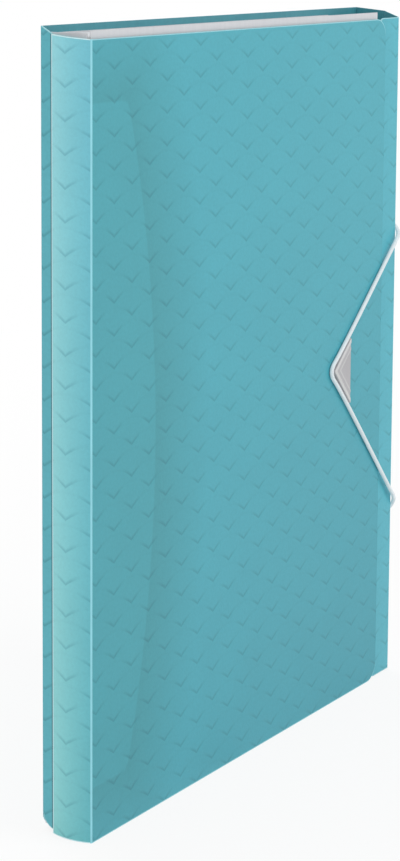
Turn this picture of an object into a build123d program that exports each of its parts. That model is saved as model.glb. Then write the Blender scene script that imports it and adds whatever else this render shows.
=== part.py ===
from build123d import *
from math import atan, cos, pi
import os

# Expanding file for A4 papers, standing on its short end with the spine to the left (-X).
# +Z is up, -Y is the front, and the origin is the middle of the bottom of the bounding box.
# All lengths are millimetres.

# Outside of the wrap
width = 250.0
depth = 25.0
front_height = 325.0
back_rise = 4.5
sheet = 0.6
fold_gap = 0.2
seat_gap = 0.3

# Front cover
cover_width = 235.0
cover_corner = 8.0

# Spine: a bowed outer strip laid over a flat inner strip
strip_depth = 19.0
strip_bow = 2.1
strip_bow_at = 9.0
strip_edge_lift = 0.7
strip_top_rise = 1.5
strip_lap_start = 2.5
heel_radius = 8.0
inner_spine_foot = 1.0

# Closing side: two side strips and a flap tucked behind the front cover
side_crease_from_front = 9.0
side_crease_drop = 1.3
flap_width = 20.0
flap_foot = 0.5
flap_rise = 0.3
flap_corner = 5.0

# Pockets
pocket_count = 5
wall_sheet = 0.4
divider_sheet = 0.25
pocket_foot = 2.5
front_wall_width = 229.0
front_wall_rise = 3.2
rear_wall_rise = 1.6
divider_rise = 0.8
divider_width = 224.0
spine_clearance = 1.3
base_strip_depth = 18.0
base_strip_rise = 2.2
gusset_fold = 11.5
gusset_sheet = 0.25
gusset_slack = 0.05
gusset_width = 221.0

# Index tabs and their labels
tab_reach = 12.0
tab_length = 48.0
tab_pitch = 57.0
tab_first = 24.0
tab_corner = 3.0
label_sheet = 0.15
label_margin = 1.5

# Rounded end of the back sheet, welded inside the front cover
tab_low = 23.0
tab_high = 300.0
tab_end_width = 24.5
tab_mid_width = 44.3
tab_round = 6.0
tab_sheet = 0.4

# Elastic cord and the hook that it pulls on
cord_radius = 1.0
cord_clearance = 0.1
cord_apex = 185.9
apex_height = 162.4
cord_crossing_high = 220.9
cord_crossing_low = 86.6
eyelet_from_front = 5.2
eyelet_radius = 1.25
apex_bend = 2.0
fold_bend = 1.5
exit_bend = 1.3
hook_edge = 202.7
hook_offset = 0.3
hook_floor = 1.3
hook_proud = 2.3
hook_rim = 1.5
hook_rib_at = 4.2
hook_rib = 1.2
hook_tip_round = 0.9
hook_corner_round = 1.2
post_radius = 1.6
post_clearance = 0.15
post_height_step = 5.0
post_inset = 4.2
backing_sheet = 0.35
backing_margin = 3.0
bar_length = 12.0
bar_width = 2.6
bar_thickness = 1.2

# Heights worked out from the front cover's
back_height = front_height + back_rise
side_crease_height = back_height - side_crease_drop
flap_head = front_height + flap_rise
front_wall_height = front_height + front_wall_rise
rear_wall_height = front_height + rear_wall_rise
divider_height = front_height + divider_rise
base_strip_height = front_height + base_strip_rise

# Places worked out from the sizes above
x_spine = -width / 2
x_side = width / 2
y_front = (hook_proud - depth) / 2
y_back = y_front + depth
y_cover_inside = y_front + sheet
y_flap = y_cover_inside + seat_gap
y_crease = y_front + side_crease_from_front
y_strip_edge = y_front + strip_depth
y_back_inside = y_back - sheet
x_wall = x_spine + spine_clearance
y_tab = y_cover_inside
y_wall = y_tab + tab_sheet + seat_gap
y_pockets = y_wall + wall_sheet
y_rear_wall = y_back_inside - wall_sheet
pocket_gap = (y_rear_wall - y_pockets - (pocket_count - 1) * divider_sheet) / pocket_count


def block(x0, x1, y0, y1, z0, z1):
    """A box between two corners."""
    middle = Pos((x0 + x1) / 2, (y0 + y1) / 2, (z0 + z1) / 2)
    return middle * Box(x1 - x0, y1 - y0, z1 - z0)


def outline(points, rounds):
    """A flat face through the points, with a radius at each corner, or 0 where it stays sharp."""
    face = Polygon(*points, align=None)
    for point, radius in zip(points, rounds):
        if radius > 0:
            corner = face.vertices().sort_by_distance(Vector(*point))[0]
            face = fillet(corner, radius)
    return face


def facing_front(face, y0, thickness):
    """A sheet parallel to the front cover: the face is drawn in X and Z."""
    plane = Plane((0, y0 + thickness, 0), x_dir=(1, 0, 0), z_dir=(0, -1, 0))
    return extrude(plane * face, amount=thickness, dir=plane.z_dir)


def facing_side(face, x0, thickness):
    """A sheet parallel to the spine: the face is drawn in Y and Z."""
    plane = Plane((x0, 0, 0), x_dir=(0, 1, 0), z_dir=(1, 0, 0))
    return extrude(plane * face, amount=thickness, dir=plane.z_dir)


def along_y(x, z, radius, y0, y1):
    """A round bar or hole that runs from the front to the back."""
    return Pos(x, (y0 + y1) / 2, z) * Rot(90, 0, 0) * Cylinder(radius, y1 - y0)


def along_x(y, z, radius, x0, x1):
    """A round bar or hole that runs from the spine to the closing side."""
    return Pos((x0 + x1) / 2, y, z) * Rot(0, 90, 0) * Cylinder(radius, x1 - x0)


def mitre(x, y, turn):
    """A wedge that cuts a sheet's end back at 45 degrees beside a fold at x, y."""
    reach = 4 * sheet
    face = Polygon((0, 0), (reach, reach), (-reach, reach), align=None)
    wedge = extrude(face, amount=back_height + 2 * reach)
    return Pos(x, y, -reach) * Rot(0, 0, turn) * wedge


# Back sheet
def back_cover():
    points = [(x_spine, 0), (x_side, 0), (x_side, back_height), (x_spine, back_height)]
    return facing_front(outline(points, [heel_radius, 0, 0, 0]), y_back_inside, sheet)


def inner_spine():
    y0 = y_front + strip_lap_start
    points = [
        (y0, inner_spine_foot), (y_back_inside, inner_spine_foot), (y_back_inside, back_height),
        (y_strip_edge, front_height + strip_top_rise), (y0, front_height)
    ]
    face = outline(points, [0, heel_radius - inner_spine_foot, 0, 0, 0])
    return facing_side(face, x_spine, sheet)


# Front sheet: the bowed strip on the spine and the cover
def spine_panel():
    start = (x_spine, y_front + fold_gap)
    crest = (x_spine - strip_bow, y_front + strip_bow_at)
    end = (x_spine - strip_edge_lift, y_strip_edge)
    inner = [(x + sheet, y) for x, y in (start, crest, end)]
    outer_arc = ThreePointArc(start, crest, end)
    inner_arc = ThreePointArc(*inner)
    ends = [Line(end, inner[2]), Line(inner[0], start)]
    face = make_face([outer_arc, ends[0], inner_arc, ends[1]])
    top = front_height + strip_top_rise
    strip = extrude(face, amount=top)
    above = Polygon(
        (y_front - depth, front_height), (y_front, front_height), (y_strip_edge, top),
        (y_strip_edge, top + depth), (y_front - depth, top + depth), align=None
    )
    cut = facing_side(above, x_spine - depth, 2 * depth)
    return strip - cut - mitre(x_spine, y_front + fold_gap / 2, 270)


def post_places():
    x = x_spine + hook_edge - post_inset
    return [(x, apex_height - post_height_step), (x, apex_height + post_height_step)]


def front_cover():
    x_end = x_spine + cover_width
    points = [(x_spine + fold_gap, 0), (x_end, 0), (x_end, front_height), (x_spine + fold_gap, front_height)]
    cover = facing_front(outline(points, [0, cover_corner, cover_corner, 0]), y_front, sheet)
    for x, z in post_places():
        cover -= along_y(x, z, post_radius + post_clearance, y_front - sheet, y_front + 2 * sheet)
    return cover - mitre(x_spine + fold_gap / 2, y_front, 0)


# Closing side
def side_top(y):
    """Height of the side strips' sloping top edge."""
    if y < y_crease:
        share = (y - y_flap) / (y_crease - y_flap)
        return flap_head + share * (side_crease_height - flap_head)
    share = (y - y_crease) / (y_back_inside - y_crease)
    return side_crease_height + share * (back_height - side_crease_height)


def side_strip(y0, y1):
    face = Polygon((y0, 0), (y1, 0), (y1, side_top(y1)), (y0, side_top(y0)), align=None)
    return facing_side(face, x_side - sheet, sheet)


def eyelet_heights():
    """Heights where the cord goes through the side: it keeps its slope round the fold."""
    run = x_side + cord_radius + cord_clearance - (x_spine + cord_apex)
    step = eyelet_from_front + cord_radius + cord_clearance
    high = cord_crossing_high + step * (cord_crossing_high - apex_height) / run
    low = cord_crossing_low - step * (apex_height - cord_crossing_low) / run
    return low, high


def side_panel_rear():
    return side_strip(y_crease + fold_gap / 2, y_back_inside - fold_gap)


def side_panel_front():
    strip = side_strip(y_flap + fold_gap, y_crease - fold_gap / 2)
    for z in eyelet_heights():
        strip -= along_x(y_front + eyelet_from_front, z, eyelet_radius, x_side - 2 * sheet, x_side + sheet)
    return strip - mitre(x_side, y_flap + fold_gap / 2, 90)


def tuck_flap():
    x0 = x_side - flap_width
    x1 = x_side - fold_gap
    points = [(x0, flap_foot), (x1, flap_foot), (x1, flap_head), (x0, flap_head)]
    flap = facing_front(outline(points, [flap_corner, 0, 0, flap_corner]), y_flap, sheet)
    return flap - mitre(x_side - fold_gap / 2, y_flap, 0)


# Pockets
def divider_front(number):
    """Front face of divider number, counted from the back."""
    steps = pocket_count - number
    return y_pockets + steps * pocket_gap + (steps - 1) * divider_sheet


def tabbed_sheet(y0, thickness, height, place):
    """A sheet with one index tab on its open edge."""
    x_end = x_spine + divider_width
    z0 = tab_first + place * tab_pitch
    z1 = z0 + tab_length
    points = [
        (x_wall, pocket_foot), (x_end, pocket_foot), (x_end, z0), (x_end + tab_reach, z0),
        (x_end + tab_reach, z1), (x_end, z1), (x_end, height), (x_wall, height)
    ]
    rounds = [0, tab_corner, 0, tab_corner, tab_corner, 0, tab_corner, 0]
    return facing_front(outline(points, rounds), y0, thickness)


def rear_wall():
    return tabbed_sheet(y_rear_wall, wall_sheet, rear_wall_height, 0)


def divider(number):
    return tabbed_sheet(divider_front(number), divider_sheet, divider_height, number)


def front_wall():
    x_end = x_spine + front_wall_width
    points = [(x_wall, pocket_foot), (x_end, pocket_foot), (x_end, front_wall_height), (x_wall, front_wall_height)]
    return facing_front(outline(points, [0, tab_corner, 0, 0]), y_wall, wall_sheet)


def label(place):
    """A blank label on the front of each index tab."""
    y_face = y_rear_wall if place == 0 else divider_front(place)
    x0 = x_spine + divider_width + label_margin
    x1 = x_spine + divider_width + tab_reach - label_margin
    z0 = tab_first + place * tab_pitch + label_margin
    z1 = z0 + tab_length - 2 * label_margin
    return block(x0, x1, y_face - label_sheet, y_face, z0, z1)


def gusset(place, end_height, inward):
    """One pleat of the gusset, folded into the pocket in front of sheet number place."""
    rear_face = y_rear_wall if place == 0 else divider_front(place)
    y1 = rear_face - gusset_slack
    y0 = rear_face - pocket_gap + gusset_slack
    y_fold = (y0 + y1) / 2
    z_fold = end_height + inward * gusset_fold
    lap = gusset_sheet * gusset_fold / (y_fold - y0)
    z_inner = z_fold - inward * lap
    face = Polygon(
        (y0, end_height), (y_fold, z_fold), (y1, end_height),
        (y1 - gusset_sheet, end_height), (y_fold, z_inner), (y0 + gusset_sheet, end_height), align=None
    )
    return facing_side(face, x_wall, gusset_width)


def pocket_base_strip():
    x0 = x_spine + sheet
    y0 = y_front + strip_lap_start
    return block(x0, x0 + wall_sheet, y0, y0 + base_strip_depth, pocket_foot, base_strip_height)


def spine_tab():
    middle = (tab_low + tab_high) / 2
    x_end = x_spine + tab_end_width
    edge = ThreePointArc((x_end, tab_low), (x_spine + tab_mid_width, middle), (x_end, tab_high))
    top = Line((x_end, tab_high), (x_wall, tab_high))
    left = Line((x_wall, tab_high), (x_wall, tab_low))
    foot = Line((x_wall, tab_low), (x_end, tab_low))
    face = make_face([edge, top, left, foot])
    corners = face.vertices().group_by(Axis.X)[-1]
    return facing_front(fillet(corners, tab_round), y_tab, tab_sheet)


# Hook
def hook_outline(inset, x_edge):
    """The triangle between the cord's two strands, moved in by inset from both."""
    run = x_side + cord_radius + cord_clearance - (x_spine + cord_apex)
    rise = (cord_crossing_high - apex_height) / run
    fall = (apex_height - cord_crossing_low) / run
    up = inset / cos(atan(rise))
    down = inset / cos(atan(fall))
    x_tip = x_spine + cord_apex + (up + down) / (rise + fall)
    z_tip = apex_height + rise * (x_tip - x_spine - cord_apex) - up
    z_high = apex_height + rise * (x_edge - x_spine - cord_apex) - up
    z_low = apex_height - fall * (x_edge - x_spine - cord_apex) + down
    return [(x_tip, z_tip), (x_edge, z_low), (x_edge, z_high)]


def closure_hook():
    x_edge = x_spine + hook_edge
    inset = cord_radius + hook_offset
    rounds = [hook_tip_round, hook_corner_round, hook_corner_round]
    body = facing_front(outline(hook_outline(inset, x_edge), rounds), y_front - hook_proud, hook_proud)
    dish = Polygon(*hook_outline(inset + hook_rim, x_edge + hook_rim), align=None)
    body -= facing_front(dish, y_front - hook_proud, hook_proud - hook_floor)
    outer = Polygon(*hook_outline(inset + hook_rib_at, x_edge), align=None)
    inner = Polygon(*hook_outline(inset + hook_rib_at + hook_rib, x_edge + hook_rim), align=None)
    rib_top = y_front - (hook_floor + hook_proud) / 2
    body += facing_front(outer - inner, rib_top, (hook_proud - hook_floor) / 2)
    for x, z in post_places():
        body += along_y(x, z, post_radius, y_front, y_cover_inside + backing_sheet)
    return body


def hook_backing_plate():
    x_edge = x_spine + hook_edge - backing_margin / 2
    inset = cord_radius + hook_offset + backing_margin
    rounds = [hook_tip_round, hook_corner_round, hook_corner_round]
    face = outline(hook_outline(inset, x_edge), rounds)
    plate = facing_front(face, y_cover_inside, backing_sheet)
    for x, z in post_places():
        plate -= along_y(x, z, post_radius + fold_gap / 4, y_front, y_cover_inside + sheet)
    return plate


# Elastic cord
def cord_route():
    x_out = x_side + cord_radius + cord_clearance
    y_out = y_front - cord_radius - cord_clearance
    y_hole = y_front + eyelet_from_front
    x_end = x_side - sheet - cord_clearance
    low, high = eyelet_heights()
    return [
        (x_end, y_hole, high),
        (x_out, y_hole, high),
        (x_out, y_out, cord_crossing_high),
        (x_spine + cord_apex, y_out, apex_height),
        (x_out, y_out, cord_crossing_low),
        (x_out, y_hole, low),
        (x_end, y_hole, low),
    ]


def elastic_cord():
    bends = [exit_bend, fold_bend, apex_bend, fold_bend, exit_bend]
    print("cord bend radii, mm:", bends)
    path = FilletPolyline(*cord_route(), radius=bends)
    start = Plane(origin=path @ 0, z_dir=path % 0)
    cord = sweep(start * Circle(cord_radius), path=path)
    section = pi * cord_radius ** 2
    print("cord length, mm:", round(path.length, 1), "volume share:", round(cord.volume / section / path.length, 4))
    return cord


def elastic_end_bars():
    """Two crimped bars that stop the cord's ends inside the side strip."""
    x1 = x_side - sheet - cord_clearance
    y0 = y_front + eyelet_from_front - bar_width / 2
    bars = []
    for z in eyelet_heights():
        bar = block(x1 - bar_thickness, x1, y0, y0 + bar_width, z - bar_length / 2, z + bar_length / 2)
        bars.append(fillet(bar.edges().filter_by(Axis.X), bar_width / 3))
    return Compound(children=bars)


nodes = {
    "back_cover": back_cover(),
    "inner_spine": inner_spine(),
    "spine_panel": spine_panel(),
    "front_cover": front_cover(),
    "side_panel_rear": side_panel_rear(),
    "side_panel_front": side_panel_front(),
    "tuck_flap": tuck_flap(),
    "spine_tab": spine_tab(),
    "pocket_base_strip": pocket_base_strip(),
    "rear_wall": rear_wall(),
    "front_wall": front_wall(),
    "closure_hook": closure_hook(),
    "hook_backing_plate": hook_backing_plate(),
    "elastic_cord": elastic_cord(),
    "elastic_end_bars": elastic_end_bars(),
}
for number in range(1, pocket_count):
    nodes[f"divider_{number}"] = divider(number)
for place in range(pocket_count):
    nodes[f"index_label_{place + 1}"] = label(place)
    nodes[f"top_gusset_{place + 1}"] = gusset(place, divider_height, -1)
    nodes[f"bottom_gusset_{place + 1}"] = gusset(place, pocket_foot, 1)

os.makedirs("parts", exist_ok=True)
for name, solid in nodes.items():
    export_step(solid, f"parts/{name}.step")
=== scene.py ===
import math

import bmesh
import bpy
import numpy as np
from mathutils import Matrix, Vector


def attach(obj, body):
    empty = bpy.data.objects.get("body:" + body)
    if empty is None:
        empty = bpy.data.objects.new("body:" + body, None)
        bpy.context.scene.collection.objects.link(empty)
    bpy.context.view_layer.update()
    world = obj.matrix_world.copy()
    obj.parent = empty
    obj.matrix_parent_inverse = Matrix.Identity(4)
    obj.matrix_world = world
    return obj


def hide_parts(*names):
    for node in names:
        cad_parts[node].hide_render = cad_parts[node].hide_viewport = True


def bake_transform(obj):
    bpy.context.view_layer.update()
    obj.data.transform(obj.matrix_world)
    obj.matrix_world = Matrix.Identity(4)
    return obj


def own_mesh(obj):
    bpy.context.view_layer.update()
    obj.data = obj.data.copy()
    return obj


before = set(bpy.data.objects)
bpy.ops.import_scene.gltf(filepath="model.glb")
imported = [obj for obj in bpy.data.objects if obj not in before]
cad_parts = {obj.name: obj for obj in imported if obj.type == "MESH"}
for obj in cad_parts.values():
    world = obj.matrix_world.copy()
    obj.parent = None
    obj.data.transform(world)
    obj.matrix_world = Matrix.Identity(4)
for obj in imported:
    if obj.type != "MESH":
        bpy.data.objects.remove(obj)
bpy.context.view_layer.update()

# Back cover
# The rear half of one big sheet of translucent polypropylene, 0.6 mm thick, die cut and pressed
# with a fish scale pattern on the outside. Its lower corner at the spine is rounded by 8 mm.
mm = 0.001
sheet = 0.6
x_spine = -125.0
y_back = 13.65
back_height = 329.5
fold_radius = 0.62
heel_radius = 8.0
emboss_depth = 0.08
emboss_step = 1.5
scale_width = 24.4
scale_pitch = 13.3
scale_rise = 4.6
stroke_width = 1.7
stroke_lip = 0.5
stroke_fades = 0.2
stroke_full = 0.47
edge_highlight_band = 0.4
sharp_turn = math.radians(40)


def linear(code):
    """An sRGB hex colour as the linear numbers that a shader wants."""
    parts = [int(code[i:i + 2], 16) / 255 for i in (0, 2, 4)]
    return [c / 12.92 if c <= 0.04045 else ((c + 0.055) / 1.055) ** 2.4 for c in parts] + [1.0]


def add(tree, kind, inputs, **settings):
    """Adds one node with its settings, and with numbers or links from other nodes at its inputs."""
    made = tree.nodes.new(kind)
    for key, value in settings.items():
        setattr(made, key, value)
    for key, value in inputs.items():
        if isinstance(value, bpy.types.NodeSocket):
            tree.links.new(value, made.inputs[key])
        else:
            made.inputs[key].default_value = value
    return made


def new_finish(name, sockets):
    """A material named for its finish, with what is the same all over set on the shader itself."""
    material = bpy.data.materials.new(name)
    material.use_nodes = True
    tree = material.node_tree
    skin = tree.nodes["Principled BSDF"]
    for key, value in sockets.items():
        skin.inputs[key].default_value = value
    place = add(tree, "ShaderNodeTexCoord", {}).outputs["Object"]
    return material, tree, skin, place


def new_piece(name, mesh):
    """Puts a finished mesh in the scene as one piece."""
    piece = bpy.data.objects.new(name, mesh)
    bpy.context.scene.collection.objects.link(piece)
    return piece


def scale_strokes(x, z):
    """How far the press has sunk, from 0 to 1, at a place on the sheet: deepest where scales meet."""
    deepest = np.zeros(np.broadcast(x, z).shape)
    for row in (0, 1):
        aside = np.abs((x / scale_width + 0.5 * row) % 1 - 0.5)
        above = (z - scale_rise * (1 - 4 * aside ** 2) - row * scale_pitch / 2) % scale_pitch
        fade = np.clip(1 - above / stroke_width, 0, 1)
        lip = np.clip(1 - (scale_pitch - above) / stroke_lip, 0, 1)
        near = np.clip((aside - stroke_fades) / (stroke_full - stroke_fades), 0, 1)
        stroke = np.maximum(fade * fade * (3 - 2 * fade), lip) * (0.12 + 0.88 * near * near)
        deepest = np.maximum(deepest, stroke)
    return deepest


def grid_faces(rows, columns):
    """The faces of a thin sheet of points: its outer face, its inner face and the wall round both."""
    count = rows * columns
    corner = np.arange(count).reshape(rows, columns)
    outer = np.stack([corner[:-1, :-1], corner[:-1, 1:], corner[1:, 1:], corner[1:, :-1]], 2).reshape(-1, 4)
    rim = np.concatenate([corner[0, ::-1], corner[1:, 0], corner[-1, 1:], corner[-2:0:-1, -1]])
    after = np.roll(rim, -1)
    return outer, outer[:, ::-1] + count, np.stack([rim, after, after + count, rim + count], 1)


def pressed_sheet(name, path, foot, head, thickness, outside, inside, edges, pattern_axis=None, lip=False):
    """A standing sheet along a path in X and Y, with its inside on the path's left. Each column of the sheet
    has its own foot and head, and the pattern is pressed into the outer face. The rim, a patterned sheet's
    thin top and bottom bands, and a lip, which is a first column, take the edge finish. That finish is paler,
    partly from stress whitening and partly as a painted highlight of the cut edge catching the light."""
    line = np.array(path, float)
    ahead = np.gradient(line, axis=0)
    ahead /= np.linalg.norm(ahead, axis=1)[:, None]
    inward = np.stack([-ahead[:, 1], ahead[:, 0]], 1)
    foot = np.array(foot, float)
    head = np.array(head, float)
    patterned = pattern_axis is not None
    if patterned:
        rows = int((head.max() - foot.min()) / emboss_step) + 1
        edge = edge_highlight_band / head.max()
        share = np.concatenate([[0], np.linspace(edge, 1 - edge, rows), [1]])[:, None]
    else:
        share = np.linspace(0, 1, 2)[:, None]
    z = foot + share * (head - foot)
    sink = np.zeros(z.shape)
    if patterned:
        sink = emboss_depth * scale_strokes(line[:, pattern_axis][None, :], z)
        sink[0] = sink[-1] = 0
        sink[:, 0] = sink[:, -1] = 0
    points = []
    for depth in (sink, np.full(z.shape, thickness)):
        x = line[None, :, 0] + inward[None, :, 0] * depth
        y = line[None, :, 1] + inward[None, :, 1] * depth
        points.append(np.stack([x, y, z], 2).reshape(-1, 3))
    columns = len(line)
    outer, inner, wall = grid_faces(len(share), columns)
    mesh = bpy.data.meshes.new(name)
    quads = np.concatenate([outer, inner, wall])
    mesh.from_pydata((np.concatenate(points) * mm).tolist(), [], quads.tolist())
    for material in (outside, inside, edges):
        mesh.materials.append(material)
    slots = np.repeat([0, 1, 2], [len(outer), len(inner), len(wall)]).astype(np.int32)
    if patterned:
        slots[:columns - 1] = 2
        slots[len(outer) - columns + 1:len(outer)] = 2
    if lip:
        slots[0:len(outer):columns - 1] = 2
    mesh.polygons.foreach_set("material_index", slots)
    mesh.shade_smooth()
    mesh.set_sharp_from_angle(angle=sharp_turn)
    mesh.update()
    return new_piece(name, mesh)


def finished(piece, body, slot, *nodes):
    """The piece moves with its CAD body and stands for its CAD nodes. Its slot is not used."""
    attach(piece, body)
    if nodes:
        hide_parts(*nodes)


def pressed_polypropylene(name, across, tone, stroke_shade_tone):
    """Translucent polypropylene, extruded and pressed: an even satin skin, with a painted shade along the
    pressed strokes that stands for the shadow of their relief. Its depth of colour changes slowly over 30 mm,
    and its fine grain is drawn at 1.1 mm, coarser than the real one, so that it shows."""
    cloud_size = 30.0
    grain_size = 1.1
    grain_relief = 0.04
    material, tree, skin, place = new_finish(name, {"Roughness": 0.42, "IOR": 1.49})
    axes = add(tree, "ShaderNodeSeparateXYZ", {0: place}).outputs
    strokes = []
    for row in (0, 1):
        turns = add(tree, "ShaderNodeMath", {0: axes[across], 1: 1 / (scale_width * mm), 2: 0.5 * row},
                    operation="MULTIPLY_ADD")
        share = add(tree, "ShaderNodeMath", {0: turns.outputs[0]}, operation="FRACT")
        off = add(tree, "ShaderNodeMath", {0: share.outputs[0], 1: 0.5}, operation="SUBTRACT")
        aside = add(tree, "ShaderNodeMath", {0: off.outputs[0]}, operation="ABSOLUTE").outputs[0]
        square = add(tree, "ShaderNodeMath", {0: aside, 1: aside}, operation="MULTIPLY")
        start = -(scale_rise + row * scale_pitch / 2) * mm
        edge = add(tree, "ShaderNodeMath", {0: square.outputs[0], 1: 4 * scale_rise * mm, 2: start},
                   operation="MULTIPLY_ADD")
        lift = add(tree, "ShaderNodeMath", {0: axes["Z"], 1: edge.outputs[0]}, operation="ADD")
        above = add(tree, "ShaderNodeMath", {0: lift.outputs[0], 1: scale_pitch * mm},
                    operation="FLOORED_MODULO").outputs[0]
        fade = add(tree, "ShaderNodeMapRange",
                   {"Value": above, "From Max": stroke_width * mm, "To Min": 1.0, "To Max": 0.0},
                   interpolation_type="SMOOTHSTEP")
        lip = add(tree, "ShaderNodeMapRange",
                  {"Value": above, "From Min": (scale_pitch - stroke_lip) * mm, "From Max": scale_pitch * mm})
        near = add(tree, "ShaderNodeMapRange",
                   {"Value": aside, "From Min": stroke_fades, "From Max": stroke_full, "To Min": 0.1,
                    "To Max": 1.0},
                   interpolation_type="SMOOTHSTEP")
        both = add(tree, "ShaderNodeMath", {0: fade.outputs[0], 1: lip.outputs[0]}, operation="MAXIMUM")
        stroke = add(tree, "ShaderNodeMath", {0: both.outputs[0], 1: near.outputs[0]}, operation="MULTIPLY")
        strokes.append(stroke.outputs[0])
    marks = add(tree, "ShaderNodeMath", {0: strokes[0], 1: strokes[1]}, operation="MAXIMUM").outputs[0]
    cloud = add(tree, "ShaderNodeTexNoise", {"Vector": place, "Scale": 1 / (cloud_size * mm), "Detail": 3.0})
    depth = add(tree, "ShaderNodeMapRange", {"Value": cloud.outputs["Fac"], "To Min": 0.95, "To Max": 1.05})
    grain = add(tree, "ShaderNodeTexNoise", {"Vector": place, "Scale": 1 / (grain_size * mm), "Detail": 2.0})
    speck = add(tree, "ShaderNodeMapRange", {"Value": grain.outputs["Fac"], "To Min": 0.93, "To Max": 1.07})
    shade = add(tree, "ShaderNodeMath", {0: depth.outputs[0], 1: speck.outputs[0]}, operation="MULTIPLY")
    # The strokes take the darker tone: a painted shade for the shadow of the pressed relief.
    body = add(tree, "ShaderNodeMix", {0: marks, 6: linear(tone), 7: linear(stroke_shade_tone)}, data_type="RGBA")
    colour = add(tree, "ShaderNodeVectorMath", {0: body.outputs[2], "Scale": shade.outputs[0]},
                 operation="SCALE")
    tree.links.new(colour.outputs[0], skin.inputs["Base Color"])
    pressed = add(tree, "ShaderNodeBump", {"Height": marks, "Distance": emboss_depth * mm, "Strength": 0.4},
                  invert=True)
    rough = add(tree, "ShaderNodeBump",
                {"Height": grain.outputs["Fac"], "Distance": grain_relief * mm, "Normal": pressed.outputs[0]})
    tree.links.new(rough.outputs[0], skin.inputs["Normal"])
    return material


def cut_polypropylene(name, tone):
    """A cut edge, crease or inner face of the same sheet in a given tone, with streaks 2 mm wide and 12 mm
    long where the knife or the crease has drawn it. On edges and creases the tone is paler, partly from
    stress whitening and partly as a painted highlight of the edge catching the light."""
    streak_size = (2.0, 2.0, 12.0)
    streak_relief = 0.05
    material, tree, skin, place = new_finish(name, {"Roughness": 0.35, "IOR": 1.49})
    draw = add(tree, "ShaderNodeVectorMath", {0: place, 1: [1 / (size * mm) for size in streak_size]},
               operation="MULTIPLY")
    streak = add(tree, "ShaderNodeTexNoise", {"Vector": draw.outputs[0], "Scale": 1.0, "Detail": 3.0})
    shade = add(tree, "ShaderNodeMapRange", {"Value": streak.outputs["Fac"], "To Min": 0.9, "To Max": 1.1})
    colour = add(tree, "ShaderNodeVectorMath", {0: linear(tone)[:3], "Scale": shade.outputs[0]},
                 operation="SCALE")
    tree.links.new(colour.outputs[0], skin.inputs["Base Color"])
    rough = add(tree, "ShaderNodeBump", {"Height": streak.outputs["Fac"], "Distance": streak_relief * mm})
    tree.links.new(rough.outputs[0], skin.inputs["Normal"])
    return material


def steps(start, end, step):
    """Evenly spaced places from start to end, about a step apart."""
    return list(np.linspace(start, end, max(2, int(abs(end - start) / step) + 1)))


def heel(distance, radius):
    """How high a rounded corner lifts the sheet's foot at a distance from the corner's side."""
    return radius - math.sqrt(max(0.0, radius ** 2 - max(0.0, radius - distance) ** 2))


teal_facing = pressed_polypropylene("pressed translucent polypropylene", "X", "4AA9B8", "3D98A6")
# The pale tone of the edges is partly stress whitening and partly a painted highlight of the cut edges
# catching the light.
teal_edge = cut_polypropylene("die cut polypropylene edge", "96D2DB")
# The inner faces take a darker tone than the outer face: a painted shade for the shade they lie in between
# the sheets.
teal_inside_shaded = cut_polypropylene("smooth inner polypropylene", "4795A2")

corner_places = [x_spine + heel_radius * (1 - math.sin(math.radians(a))) for a in range(10, 90, 10)]
corner_start = -117
fold_start = x_spine + fold_radius
places = steps(-fold_start, corner_start, emboss_step)
places += [x for x in corner_places if x > fold_start + 0.1] + [fold_start]
back = pressed_sheet(
    "back_cover_sheet", [(x, y_back) for x in places], [heel(x - x_spine, heel_radius) for x in places],
    [back_height] * len(places), sheet, teal_facing, teal_inside_shaded, teal_edge, 0
)
finished(back, "back_shell", "translucent_teal_pp", "back_cover")

# Inner strip of the spine, with its fold to the back cover
# The same sheet, folded forward flat behind the bowed strip. Its foot starts 1 mm higher and is
# rounded like the back cover's corner. Its rear part shows as a darker band beside the bowed strip.
front_height = 325.0
y_back_inside = 13.05
strip_edge = 7.65
strip_top_rise = 1.5
inner_end = -8.85
inner_foot = 1.0
inner_heel = 7.0
fold_foot_drop = 1.2


def arc(x, y, start, end):
    """The outside of a fold as a path: an arc round its centre, between two angles in degrees."""
    turns = [math.radians(a) for a in np.linspace(start, end, 9)]
    return [(x + fold_radius * math.cos(a), y + fold_radius * math.sin(a)) for a in turns]


def inner_head(y):
    """The inner strip's top edge: a slow slope under the bowed strip, and a steep one behind it."""
    if y < strip_edge:
        return front_height + (y - inner_end) / (strip_edge - inner_end) * strip_top_rise
    steep = back_height - front_height - strip_top_rise
    return front_height + strip_top_rise + (y - strip_edge) / (y_back_inside - strip_edge) * steep


# The bowed strip's shadow lies along its free edge as a thin dark line.
teal_spine = pressed_polypropylene("pressed translucent polypropylene spine", "Y", "5BB3C0", "4A9BA8")
tree = teal_spine.node_tree
skin = tree.nodes["Principled BSDF"]
plain = skin.inputs["Base Color"].links[0].from_socket
place = add(tree, "ShaderNodeTexCoord", {}).outputs["Object"]
axes = add(tree, "ShaderNodeSeparateXYZ", {0: place}).outputs
shadow_start = strip_edge + 0.85
shadow_end = strip_edge + 1.25
gap_shadow = add(tree, "ShaderNodeMapRange",
              {"Value": axes["Y"], "From Min": shadow_start * mm, "From Max": shadow_end * mm,
               "To Min": 0.45, "To Max": 1.0})
shaded = add(tree, "ShaderNodeVectorMath", {0: plain, "Scale": gap_shadow.outputs[0]}, operation="SCALE")
tree.links.new(shaded.outputs[0], skin.inputs["Base Color"])

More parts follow.
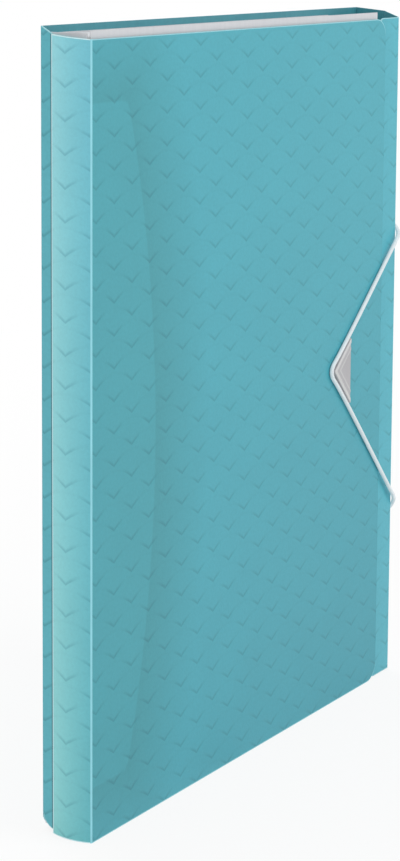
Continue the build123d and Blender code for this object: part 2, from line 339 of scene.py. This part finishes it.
fold_rear = y_back - fold_radius
rounded = [fold_rear, 12.4, 11.8, 11, 10, 9, 8]
places = rounded + steps(strip_edge, inner_end, emboss_step)
heights = [inner_head(y) for y in places]
inner_strip = pressed_sheet(
    "inner_spine_sheet", [(x_spine, y) for y in places],
    [inner_foot + heel(y_back_inside - y, inner_heel) for y in places],
    heights, sheet, teal_spine, teal_inside_shaded, teal_edge, 1
)
finished(inner_strip, "back_shell", "translucent_teal_pp", "inner_spine")
path = arc(fold_start, fold_rear, 90, 180)
fold_feet = np.linspace(heel(fold_radius, heel_radius), inner_foot + inner_heel - fold_foot_drop, len(path))
rear_fold = pressed_sheet(
    "spine_rear_fold", path, fold_feet, np.linspace(back_height, heights[0], len(path)), sheet,
    teal_facing, teal_inside_shaded, teal_edge
)
finished(rear_fold, "back_shell", "translucent_teal_pp")

# Rear wall and four dividers
# Five white polypropylene sheets with an index tab each on their open edge, calendered to a satin
# face with a faint draw along their length. The rear wall is welded to the back cover. The front
# wall and the strip that closes the pockets at the spine are cut from the same white sheet.
draw_size = (1.5, 1.5, 30.0)


def grained(tree, skin, grain, dark, light, relief):
    """Two tones and a shallow relief, in millimetres, that follow one grain."""
    tint = add(tree, "ShaderNodeMix", {0: grain, 6: linear(dark), 7: linear(light)}, data_type="RGBA")
    tree.links.new(tint.outputs[2], skin.inputs["Base Color"])
    rough = add(tree, "ShaderNodeBump", {"Height": grain, "Distance": relief * mm})
    tree.links.new(rough.outputs[0], skin.inputs["Normal"])


def dress(material, *names):
    """CAD nodes whose shape is right already get only the real finish."""
    for name in names:
        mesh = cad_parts[name].data
        mesh.materials.clear()
        mesh.materials.append(material)


white_wall, tree, skin, place = new_finish("calendered white polypropylene", {"Roughness": 0.38, "IOR": 1.49})
drawn = add(tree, "ShaderNodeVectorMath", {0: place, 1: [1 / (size * mm) for size in draw_size]},
            operation="MULTIPLY")
streak = add(tree, "ShaderNodeTexNoise", {"Vector": drawn.outputs[0], "Scale": 1.0, "Detail": 3.0})
# Their white is toned down to a light grey: a painted shade for the shade they stand in between the covers.
grained(tree, skin, streak.outputs["Fac"], "CDCDD1", "D8D8DB", 0.04)
dress(white_wall, "rear_wall", "divider_1", "divider_2", "divider_3", "divider_4", "front_wall",
      "pocket_base_strip")

# Index labels
# Five blank paper labels stuck on the tabs, one on each. The paper is uncoated, so it is matt, a
# little warm, and its short fibres, 0.8 mm long, stand up in the surface.
fibre_length = 0.8
paper, tree, skin, place = new_finish("uncoated label paper", {"Roughness": 0.85})
fibre = add(tree, "ShaderNodeTexNoise",
            {"Vector": place, "Scale": 1 / (fibre_length * mm), "Detail": 4.0, "Distortion": 0.6})
grained(tree, skin, fibre.outputs["Fac"], "EFEDE6", "F7F6F1", 0.06)
dress(paper, *[f"index_label_{number}" for number in range(1, 6)])

# Gussets
# Ten pleats of thin white film, one at each end of each pocket, heat sealed to the sheets in front and
# behind. Each is creased once in the middle. It would open as the pockets fan out, but here it is built
# fixed, as it lies in the closed pockets. The heat leaves the film with soft ripples, about 6 mm from one to
# the next.
film_sheet = 0.25
pleat = 11.5
pleat_curve = 1.15
pleat_top = 325.8
pleat_bottom = 2.5
pocket_gap = 4.26
seal_gap = 0.05
rear_faces = [12.65, 8.14, 3.63, -0.88, -5.39]
film_start = -123.7
film_end = 97.3
ripple_size = 6.0
film, tree, skin, place = new_finish("heat sealed white film", {"Roughness": 0.5, "IOR": 1.49})
ripple = add(tree, "ShaderNodeTexNoise", {"Vector": place, "Scale": 1 / (ripple_size * mm), "Detail": 4.0})
grained(tree, skin, ripple.outputs["Fac"], "DDE1E4", "ECEEEF", 0.2)
across = np.linspace(0, 1, 15)
lengths = np.linspace(film_start, film_end, 27)
for number, rear_face in enumerate(rear_faces, 1):
    y_rear = rear_face - seal_gap
    y_fore = rear_face - pocket_gap + seal_gap
    for end, start_height, inward in (("top", pleat_top, -1), ("bottom", pleat_bottom, 1)):
        points = []
        for lap in (0, 1):
            for x in lengths:
                for t in across:
                    fall = pleat * (1 - abs(2 * t - 1) ** pleat_curve)
                    inset = film_sheet * (1 if t < 0.5 else -1) * lap * (abs(2 * t - 1) > 0.01)
                    lower_right_shade = lap * film_sheet * 2 * (1 - abs(2 * t - 1))
                    y = y_rear + (y_fore - y_rear) * t - inset
                    points.append((x * mm, y * mm, (start_height + inward * (fall - lower_right_shade)) * mm))
        mesh = bpy.data.meshes.new(f"{end}_pleat_{number}")
        quads = np.concatenate(grid_faces(len(lengths), len(across)))
        mesh.from_pydata(points, [], quads.tolist())
        mesh.materials.append(film)
        mesh.shade_smooth()
        mesh.set_sharp_from_angle(angle=sharp_turn)
        piece = new_piece(mesh.name, mesh)
        solid = bmesh.new()
        solid.from_mesh(mesh)
        bmesh.ops.recalc_face_normals(solid, faces=solid.faces)
        solid.to_mesh(mesh)
        solid.free()
        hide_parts(f"{end}_gusset_{number}")
        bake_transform(piece)

# Bowed strip of the spine
# The front sheet's own edge, laid over the inner strip and welded to it at the front. It bows out
# and its cut edge stands free, so light comes through it and it looks paler, most of all there.
# Lower down it turns greener.
y_front = -11.35
strip_depth = 19.0
lip_width = 0.45
bow_middle = (-127.04, -2.35)
bow_free = (-125.7, strip_edge)
pale_start = -11.0
pale_end = 6.0
# The strip's paler tone, palest toward its free edge, is a painted glow for the light through the strip, and
# the pale lip along that edge is a painted highlight of its cut edge.
teal_free = cut_polypropylene("cut polypropylene lip, painted highlight", "D2F4F8")
teal_bowed = pressed_polypropylene("backlit pressed polypropylene", "Y", "98DFE8", "80C6D2")
tree = teal_bowed.node_tree
skin = tree.nodes["Principled BSDF"]
pale = skin.inputs["Base Color"].links[0].from_socket
place = add(tree, "ShaderNodeTexCoord", {}).outputs["Object"]
axes = add(tree, "ShaderNodeSeparateXYZ", {0: place}).outputs
toward = add(tree, "ShaderNodeMapRange",
             {"Value": axes["Y"], "From Min": pale_start * mm, "From Max": pale_end * mm})
tones = add(tree, "ShaderNodeMix", {0: toward.outputs[0], 6: linear("B6DBE5"), 7: linear("FFFFFF")},
            data_type="RGBA")
lit = add(tree, "ShaderNodeVectorMath", {0: pale, 1: tones.outputs[2]}, operation="MULTIPLY")
upward = add(tree, "ShaderNodeMapRange", {"Value": axes["Z"], "From Max": front_height * mm})
along = add(tree, "ShaderNodeMix", {0: upward.outputs[0], 6: linear("EAF6ED"), 7: linear("FFFFFF")},
            data_type="RGBA")
lit = add(tree, "ShaderNodeVectorMath", {0: lit.outputs[0], 1: along.outputs[2]}, operation="MULTIPLY")
tree.links.new(lit.outputs[0], skin.inputs["Base Color"])

fold_front = y_front + fold_radius
bow = np.polyfit([fold_front, bow_middle[1], bow_free[1]], [x_spine, bow_middle[0], bow_free[0]], 2)
places = [strip_edge] + steps(strip_edge - lip_width, fold_front, 1.0)
bowed = pressed_sheet(
    "bowed_spine_strip", [(np.polyval(bow, y), y) for y in places], [0] * len(places),
    [front_height + strip_top_rise * (y - y_front) / strip_depth for y in places],
    sheet, teal_bowed, teal_inside_shaded, teal_free, 1, True
)
finished(bowed, "back_shell", "translucent_teal_pp", "spine_panel")

# Front cover, with the fold that it swings on
# The front sheet again: pressed, die cut with two rounded corners, and creased at the spine into a
# living hinge. The back sheet's rounded tab is welded inside it and shows through.
cover_end = 110.0
cover_round = 8.0
tab_low = 23.0
tab_high = 300.0
tab_arc_x = -575.0
tab_arc_radius = 494.3
tab_round = 6.0
tab_blur = 0.6
halo_reach = 40.0
dim_height = 250.0

# Seen through the cover, the tab lies close and looks pale. Round it the sheet has nothing white close behind
# it and looks darker, and it deepens toward the lower right, away from the light. All of this is painted into
# the cover's colour: painted light over the tab, a painted shadow round it that fades over 40 mm, and a
# painted shade toward the lower right.
teal_cover = pressed_polypropylene("pressed polypropylene over a tab", "X", "4AA9B8", "3D98A6")
tree = teal_cover.node_tree
skin = tree.nodes["Principled BSDF"]
plain = skin.inputs["Base Color"].links[0].from_socket
place = add(tree, "ShaderNodeTexCoord", {}).outputs["Object"]
axes = add(tree, "ShaderNodeSeparateXYZ", {0: place}).outputs
level = add(tree, "ShaderNodeVectorMath", {0: place, 1: (1, 0, 1)}, operation="MULTIPLY")
middle = (tab_arc_x * mm, 0, (tab_low + tab_high) / 2 * mm)
half_tab = (tab_high - tab_low) / 2 * mm
reach = add(tree, "ShaderNodeVectorMath", {0: level.outputs[0], 1: middle}, operation="DISTANCE")
beyond = add(tree, "ShaderNodeMath", {0: reach.outputs["Value"], 1: tab_arc_radius * mm},
             operation="SUBTRACT")
rise = add(tree, "ShaderNodeMath", {0: axes["Z"], 1: middle[2]}, operation="SUBTRACT")
far = add(tree, "ShaderNodeMath", {0: rise.outputs[0]}, operation="ABSOLUTE")
over = add(tree, "ShaderNodeMath", {0: far.outputs[0], 1: half_tab}, operation="SUBTRACT")
outside = add(tree, "ShaderNodeMath", {0: beyond.outputs[0], 1: over.outputs[0], 2: tab_round * mm},
              operation="SMOOTH_MAX").outputs[0]
inside = add(tree, "ShaderNodeMapRange",
             {"Value": outside, "From Min": -tab_blur * mm, "From Max": tab_blur * mm, "To Min": 1.0,
              "To Max": 0.0}, interpolation_type="SMOOTHSTEP")
halo_shadow = add(tree, "ShaderNodeMapRange",
           {"Value": outside, "From Min": 0.0, "From Max": halo_reach * mm, "To Min": 1.0, "To Max": 0.0})
shadow = add(tree, "ShaderNodeMix", {0: halo_shadow.outputs[0], 6: linear("FFFFFF"), 7: linear("E4E8E4")},
             data_type="RGBA")
through = add(tree, "ShaderNodeMix", {0: inside.outputs[0], 6: shadow.outputs[2], 7: linear("F2F4F1")},
              data_type="RGBA")
seen = add(tree, "ShaderNodeVectorMath", {0: plain, 1: through.outputs[2]}, operation="MULTIPLY")
away = add(tree, "ShaderNodeMapRange",
           {"Value": axes["X"], "From Min": x_spine * mm, "From Max": cover_end * mm})
under = add(tree, "ShaderNodeMapRange",
            {"Value": axes["Z"], "From Min": 0.0, "From Max": dim_height * mm, "To Min": 1.0, "To Max": 0.0})
lower_right_shade = add(tree, "ShaderNodeMath", {0: away.outputs[0], 1: under.outputs[0]}, operation="MULTIPLY")
dim = add(tree, "ShaderNodeMix", {0: lower_right_shade.outputs[0], 6: linear("FFFFFF"), 7: linear("D5ECEE")},
          data_type="RGBA")
seen = add(tree, "ShaderNodeVectorMath", {0: seen.outputs[0], 1: dim.outputs[2]}, operation="MULTIPLY")
tree.links.new(seen.outputs[0], skin.inputs["Base Color"])

corner_places = [cover_end - cover_round * (1 - math.sin(math.radians(a))) for a in range(10, 91, 10)]
places = steps(fold_start, cover_end - cover_round, emboss_step) + corner_places
lift = [heel(cover_end - x, cover_round) for x in places]
cover = pressed_sheet(
    "front_cover_sheet", [(x, y_front) for x in places], lift, [front_height - r for r in lift],
    sheet, teal_cover, teal_cover, teal_edge, 0
)
finished(cover, "front_cover", "translucent_teal_pp", "front_cover")
# The folds' pale tone is partly stress whitening and partly a painted highlight along the fold.
teal_crease = cut_polypropylene("creased polypropylene fold", "92D8E4")
path = arc(fold_start, fold_front, 180, 270)
front_fold = pressed_sheet(
    "front_cover_fold", path, [0] * len(path), [front_height] * len(path), sheet, teal_crease,
    teal_inside_shaded, teal_edge
)
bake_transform(front_fold)

# Tab of the back sheet, inside the front cover
# Its rounded end, cut from the same pressed sheet and spot welded to the cover, so it swings with
# the cover.
dress(teal_facing, "spine_tab")

# Closing side and the flap that tucks in
# Two strips of the back sheet with a crease between them, and a flap behind the front cover. The folds are
# living hinges: the sheet is squeezed thin there, and their paler tone is partly stress whitening and partly
# a painted highlight of the fold catching the light. Two holes are punched in the front strip for the elastic
# cord.
x_side = 125.0
y_crease = -2.35
crease_half = 0.6
crease_depth = 0.2
y_flap = -10.45
flap_head = 325.3
flap_foot = 0.5
flap_end = 105
flap_round = 5.0
crease_head = 328.2
eyelet_y = -6.15
eyelet_heights = (226.55, 79.28)
eyelet_radius = 1.25
teal_side = pressed_polypropylene("pressed translucent polypropylene side", "Y", "4AA9B8", "3D98A6")


def side_head(y):
    """The side strips' top edge slopes up from the flap to the crease, and on to the back cover."""
    if y < y_crease:
        return flap_head + (y - y_flap) / (y_crease - y_flap) * (crease_head - flap_head)
    return crease_head + (y - y_crease) / (y_back_inside - y_crease) * (back_height - crease_head)


places = steps(y_crease + crease_half, fold_rear, 1.0)
side_rear = pressed_sheet(
    "side_strip_rear", [(x_side, y) for y in places], [0] * len(places), [side_head(y) for y in places],
    sheet, teal_side, teal_inside_shaded, teal_edge, 1
)
finished(side_rear, "side_rear", "translucent_teal_pp", "side_panel_rear")
path = arc(-fold_start, fold_rear, 0, 90)
side_fold = pressed_sheet(
    "side_rear_fold", path, [0] * len(path), np.linspace(side_head(fold_rear), back_height, len(path)),
    sheet, teal_crease, teal_inside_shaded, teal_edge
)
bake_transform(side_fold)
path = [(x_side - crease_depth * math.cos(math.pi * t / 2), y_crease + t * crease_half)
        for t in np.linspace(-1, 1, 9)]
side_crease = pressed_sheet(
    "side_middle_crease", path, [0] * len(path), [side_head(y) for x, y in path], sheet - crease_depth,
    teal_crease, teal_inside_shaded, teal_edge
)
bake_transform(side_crease)
places = steps(y_flap + fold_radius, y_crease - crease_half, 1.0)
side_front = pressed_sheet(
    "side_strip_front", [(x_side, y) for y in places], [0] * len(places), [side_head(y) for y in places],
    sheet, teal_side, teal_inside_shaded, teal_edge, 1
)
for height in eyelet_heights:
    punch = bmesh.new()
    place = Matrix.Translation(((x_side - sheet / 2) * mm, eyelet_y * mm, height * mm))
    place = place @ Matrix.Rotation(math.pi / 2, 4, "Y")
    bmesh.ops.create_cone(punch, cap_ends=True, segments=24, radius1=eyelet_radius * mm,
                          radius2=eyelet_radius * mm, depth=4.0 * mm, matrix=place)
    tool = new_piece("punch", bpy.data.meshes.new("punch"))
    punch.to_mesh(tool.data)
    punch.free()
    cut = side_front.modifiers.new("punched", "BOOLEAN")
    cut.operation = "DIFFERENCE"
    cut.object = tool
    whole = bpy.data.meshes.new_from_object(side_front.evaluated_get(bpy.context.evaluated_depsgraph_get()))
    side_front.modifiers.clear()
    side_front.data = whole
    bpy.data.objects.remove(tool)
finished(side_front, "side_front", "translucent_teal_pp", "side_panel_front")
path = arc(-fold_start, y_flap + fold_radius, 270, 360)
tuck_fold = pressed_sheet(
    "side_front_fold", path, np.linspace(flap_foot, 0, len(path)), [side_head(y) for x, y in path], sheet,
    teal_crease, teal_inside_shaded, teal_edge
)
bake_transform(tuck_fold)
# The flap's tone is lighter than the cover's: painted light for the light through its single layer.
teal_flap = pressed_polypropylene("pressed polypropylene flap", "X", "4FB0C0", "429DAB")
corner_places = [flap_end + flap_round * (1 - math.cos(math.radians(a))) for a in range(0, 90, 10)]
places = corner_places + steps(flap_end + flap_round, -fold_start, emboss_step)
lift = [heel(x - flap_end, flap_round) for x in places]
flap = pressed_sheet(
    "tuck_in_flap", [(x, y_flap) for x in places], [flap_foot + r for r in lift],
    [flap_head - r for r in lift], sheet, teal_flap, teal_inside_shaded, teal_edge, 0
)
finished(flap, "tuck_flap", "translucent_teal_pp", "tuck_flap")

# Hook
# A triangular ABS moulding, fine satin grey, with a raised rim along the cord and a low rib inside
# it. Its two posts go through the cover and are clamped by a plate of the same plastic inside.
hook_edge = 77.7
hook_bevel = 0.2
cord_apex = 60.9
apex_height = 162.4
strand_rise = 58.5 / 65.2
strand_fall = 75.8 / 65.2
hook_rim_end = 2.0
post_x = 73.5
post_y = -11.0
post_apart = 5.0
post_radius = 1.6
post_length = 1.2
# The face from the cord inward: each pair is the distance in from the cord and the height.
hook_face = [
    (1.1, 0.0), (1.1, 1.85), (1.18, 2.12), (1.4, 2.3), (2.6, 2.3), (2.8, 2.16), (2.95, 2.02), (4.2, 2.02),
    (4.35, 2.1), (4.5, 2.18), (5.2, 2.18), (5.35, 2.1), (5.5, 2.02),
]

# Moulded ABS has a spark eroded texture, drawn at 0.7 mm so that it shows. The proud rim is painted paler, a
# painted highlight.
spark_size = 0.7
y_highlit = -13.58
y_recess = -13.45
moulded, tree, skin, place = new_finish("satin moulded ABS", {"Roughness": 0.36, "IOR": 1.54})
spark = add(tree, "ShaderNodeTexNoise", {"Vector": place, "Scale": 1 / (spark_size * mm), "Detail": 3.0})
grained(tree, skin, spark.outputs["Fac"], "B0AEB1", "B9B7BA", 0.03)
dull = skin.inputs["Base Color"].links[0].from_socket
rim_highlight = add(tree, "ShaderNodeMix", {0: spark.outputs["Fac"], 6: linear("C8C8C7"), 7: linear("D2D2D1")},
           data_type="RGBA")
axes = add(tree, "ShaderNodeSeparateXYZ", {0: place}).outputs
sunk = add(tree, "ShaderNodeMapRange",
           {"Value": axes["Y"], "From Min": y_highlit * mm, "From Max": y_recess * mm})
tint = add(tree, "ShaderNodeMix", {0: sunk.outputs[0], 6: rim_highlight.outputs[2], 7: dull}, data_type="RGBA")
tree.links.new(tint.outputs[2], skin.inputs["Base Color"])


def hook_line(inset, proud):
    """One line of the hook's face: from its edge down the upper strand, round the tip and back."""
    ways = [math.hypot(1, strand_rise), math.hypot(1, strand_fall)]
    tip_round = 0.9 if inset < hook_rim_end else 0.4
    tip_x = cord_apex + (inset + tip_round) * sum(ways) / (strand_rise + strand_fall)
    tip_z = apex_height + strand_rise * (tip_x - cord_apex) - (inset + tip_round) * ways[0]
    line = []
    for x, drop in ((hook_edge, hook_bevel), (hook_edge - hook_bevel, 0)):
        z = apex_height + strand_rise * (x - cord_apex) - inset * ways[0]
        line.append((x, y_front - max(0, proud - drop), z))
    for turn in np.linspace(math.atan2(1, -strand_rise), math.atan2(1, strand_fall) + math.pi, 9):
        line.append((tip_x + tip_round * math.cos(turn), y_front - proud, tip_z + tip_round * math.sin(turn)))
    for x, drop in ((hook_edge - hook_bevel, 0), (hook_edge, hook_bevel)):
        z = apex_height - strand_fall * (x - cord_apex) + inset * ways[1]
        line.append((x, y_front - max(0, proud - drop), z))
    return line


solid = bmesh.new()
lines = [[solid.verts.new([c * mm for c in point]) for point in hook_line(*level)] for level in hook_face]
for lower, upper in zip(lines, lines[1:]):
    for k in range(len(lower) - 1):
        solid.faces.new((lower[k], lower[k + 1], upper[k + 1], upper[k]))
floor_line = lines[-1]
solid.faces.new(floor_line[1:-1])
solid.faces.new((floor_line[0], floor_line[1], floor_line[-2], floor_line[-1]))
solid.faces.new(lines[0])
solid.faces.new([line[0] for line in lines] + [line[-1] for line in reversed(lines)])
for away in (-post_apart, post_apart):
    place = Matrix.Translation((post_x * mm, post_y * mm, (apex_height + away) * mm))
    place = place @ Matrix.Rotation(math.pi / 2, 4, "X")
    bmesh.ops.create_cone(solid, cap_ends=True, segments=32, radius1=post_radius * mm,
                          radius2=post_radius * mm, depth=post_length * mm, matrix=place)
bmesh.ops.recalc_face_normals(solid, faces=solid.faces)
mesh = bpy.data.meshes.new("hook_moulding")
solid.to_mesh(mesh)
solid.free()
mesh.materials.append(moulded)
mesh.shade_smooth()
mesh.set_sharp_from_angle(angle=math.radians(30))
hook = new_piece("hook_moulding", mesh)
finished(hook, "front_cover", "grey_moulding", "closure_hook")
dress(moulded, "hook_backing_plate")

# Elastic cord
# White polyester braid over a rubber core, 2 mm thick. It comes out of two holes in the closing side, goes
# round the front fold and meets at the hook. Free of the hook it would shorten to a straight run down the
# side, but it is built only in its hooked run, fixed to the closing side.
cord_radius = 1.0
ring_step = 0.35
around = 24
braid_strands = 6
braid_pitch = 5.0
braid_relief = 0.07
route = [
    (124.3, -6.15, 226.55), (126.1, -6.15, 226.55), (126.1, -12.45, 220.9), (119.8, -12.45, 215.2),
    (69.8, -12.45, 170.4), (58.8, -12.45, 162.4), (69.0, -12.45, 153.0),
    (119.9, -12.45, 93.8), (126.1, -12.45, 86.6), (126.1, -6.15, 79.28), (124.3, -6.15, 79.28),
]

# Spun polyester is matt and a little fuzzy, with tufts of 0.6 mm that catch the light at its edge.
fuzz_size = 0.6
elastic, tree, skin, place = new_finish("braided polyester elastic", {"Roughness": 0.7, "Sheen Weight": 0.25})
fuzz = add(tree, "ShaderNodeTexNoise", {"Vector": place, "Scale": 1 / (fuzz_size * mm), "Detail": 4.0})
grained(tree, skin, fuzz.outputs["Fac"], "D6DDE2", "EEF4F6", 0.08)

line = bpy.data.curves.new("elastic route", "CURVE")
line.dimensions = "3D"
line.resolution_u = 48
spline = line.splines.new("NURBS")
spline.points.add(len(route) - 1)
for point, place in zip(spline.points, route):
    point.co = (place[0] * mm, place[1] * mm, place[2] * mm, 1)
spline.order_u = 3
spline.use_endpoint_u = True
carrier = new_piece("elastic route", line)
bpy.context.view_layer.update()
traced = bpy.data.meshes.new_from_object(carrier.evaluated_get(bpy.context.evaluated_depsgraph_get()))
centres = np.array([v.co for v in traced.vertices])
bpy.data.objects.remove(carrier)
gone = np.concatenate([[0], np.cumsum(np.linalg.norm(np.diff(centres, axis=0), axis=1))])
cord_length = gone[-1]
marks = np.linspace(0, cord_length, int(cord_length / (ring_step * mm)))
centres = np.stack([np.interp(marks, gone, centres[:, k]) for k in range(3)], 1)
ahead = np.gradient(centres, axis=0)
ahead /= np.linalg.norm(ahead, axis=1)[:, None]
side = Vector((0, 1, 0))
points = []
for centre, forward, run in zip(centres, ahead, marks):
    forward = Vector(forward)
    side = (side - forward * side.dot(forward)).normalized()
    up = forward.cross(side)
    twist = 4 * math.pi * run / (braid_pitch * mm)
    for k in range(around):
        turn = 2 * math.pi * k / around
        weave = math.sin(braid_strands * turn / 2 + twist) * math.sin(braid_strands * turn / 2 - twist)
        radius = cord_radius * mm * (1 - braid_relief * (0.5 - 0.5 * weave))
        points.append(Vector(centre) + (side * math.cos(turn) + up * math.sin(turn)) * radius)
rings = len(centres)
quads = []
for j in range(rings - 1):
    for k in range(around):
        after = (k + 1) % around
        quads.append((j * around + k, j * around + after, (j + 1) * around + after, (j + 1) * around + k))
ends = [tuple(range(around - 1, -1, -1)), tuple((rings - 1) * around + k for k in range(around))]
mesh = bpy.data.meshes.new("elastic_braid")
mesh.from_pydata([tuple(p) for p in points], [], quads + ends)
mesh.materials.append(elastic)
mesh.shade_smooth()
braid = new_piece("elastic_braid", mesh)
finished(braid, "side_front", "white_elastic", "elastic_cord")
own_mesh(braid)

# End bars of the cord
# Two bars of bright rolled steel, crimped on the cord's ends inside the closing side. Rolling leaves
# fine lines along them, 0.2 mm apart and 4 mm long, where the shine changes.
rolled_size = (0.2, 0.2, 4.0)
steel, tree, skin, place = new_finish(
    "crimped rolled steel", {"Metallic": 1.0, "Base Color": linear("C9CACB")}
)
drawn = add(tree, "ShaderNodeVectorMath", {0: place, 1: [1 / (size * mm) for size in rolled_size]},
            operation="MULTIPLY")
lines = add(tree, "ShaderNodeTexNoise", {"Vector": drawn.outputs[0], "Scale": 1.0, "Detail": 2.0})
shine = add(tree, "ShaderNodeMapRange", {"Value": lines.outputs["Fac"], "To Min": 0.22, "To Max": 0.42})
tree.links.new(shine.outputs[0], skin.inputs["Roughness"])
dress(steel, "elastic_end_bars")

# Studio
# A pale floor, soft light from the front, the left and behind, and white all round, which the
# camera and reflections see. The camera stands where the photograph was taken from.
floor_half = 6.0
shadow_reach = (0.25, 1.0)
ground = bpy.data.meshes.new("studio_floor")
corners = [(-floor_half, -floor_half, 0), (floor_half, -floor_half, 0), (floor_half, floor_half, 0),
           (-floor_half, floor_half, 0)]
ground.from_pydata(corners, [], [(0, 1, 2, 3)])
floor = new_piece("studio_floor", ground)


def seen_rays(tree):
    """1 for the rays of the camera, of reflections and of glass, and 0 for those that light things."""
    ray = add(tree, "ShaderNodeLightPath", {}).outputs
    seen = add(tree, "ShaderNodeMath", {0: ray["Is Camera Ray"], 1: ray["Is Glossy Ray"]},
               operation="MAXIMUM")
    seen = add(tree, "ShaderNodeMath", {0: seen.outputs[0], 1: ray["Is Transmission Ray"]},
               operation="MAXIMUM")
    return seen.outputs[0]


# Near the object the paint keeps a soft shadow, and further out it fades into the white.
paint, tree, skin, place = new_finish(
    "white painted floor", {"Base Color": linear("F5F5F5"), "Roughness": 0.9}
)
glow = add(tree, "ShaderNodeEmission", {"Color": (1, 1, 1, 1), "Strength": 1.0})
away = add(tree, "ShaderNodeVectorMath", {0: place}, operation="LENGTH")
paler = add(tree, "ShaderNodeMapRange",
            {"Value": away.outputs["Value"], "From Min": shadow_reach[0], "From Max": shadow_reach[1],
             "To Min": 0.86, "To Max": 1.0}, interpolation_type="SMOOTHSTEP")
share = add(tree, "ShaderNodeMath", {0: seen_rays(tree), 1: paler.outputs[0]}, operation="MULTIPLY")
mixed = add(tree, "ShaderNodeMixShader", {0: share.outputs[0], 1: skin.outputs[0], 2: glow.outputs[0]})
tree.links.new(mixed.outputs[0], tree.nodes["Material Output"].inputs["Surface"])
ground.materials.append(paint)

scene = bpy.context.scene
scene.world = bpy.data.worlds.new("studio")
scene.world.use_nodes = True
tree = scene.world.node_tree
sky = tree.nodes["Background"]
level = add(tree, "ShaderNodeMapRange", {"Value": seen_rays(tree), "To Min": 0.46, "To Max": 1.0})
tree.links.new(level.outputs[0], sky.inputs["Strength"])
sky.inputs["Color"].default_value = (1, 1, 1, 1)

lamps = [
    ("key", (0.5, -1.6, 1.3), 1.2, 14.5),
    ("left", (-1.6, -0.5, 0.7), 0.9, 7.0),
    ("top", (0.1, 0.2, 1.7), 0.8, 4.0),
    ("rear", (0.9, 1.7, 1.0), 1.2, 14.0),
]
for name, place, size, power in lamps:
    lamp = bpy.data.lights.new(name, "AREA")
    lamp.size = size
    lamp.energy = power
    holder = new_piece(name, lamp)
    holder.location = place
    holder.rotation_euler = (Vector((0, 0, 0.16)) - holder.location).to_track_quat("-Z", "Y").to_euler()

lens = bpy.data.cameras.new("camera")
lens.sensor_width = 36
lens.lens = 89.967
lens.shift_y = -0.28
lens.clip_end = 30
camera = new_piece("camera", lens)
azimuth, tilt, roll = (math.radians(angle) for angle in (-56.3435, 90 - 7.0866, 0.3592))
turn = Matrix.Rotation(azimuth, 4, "Z") @ Matrix.Rotation(tilt, 4, "X") @ Matrix.Rotation(roll, 4, "Z")
camera.matrix_world = Matrix.Translation((-0.7932166, -0.507006, 0.3702292)) @ turn
scene.camera = camera
scene.view_settings.view_transform = "Standard"
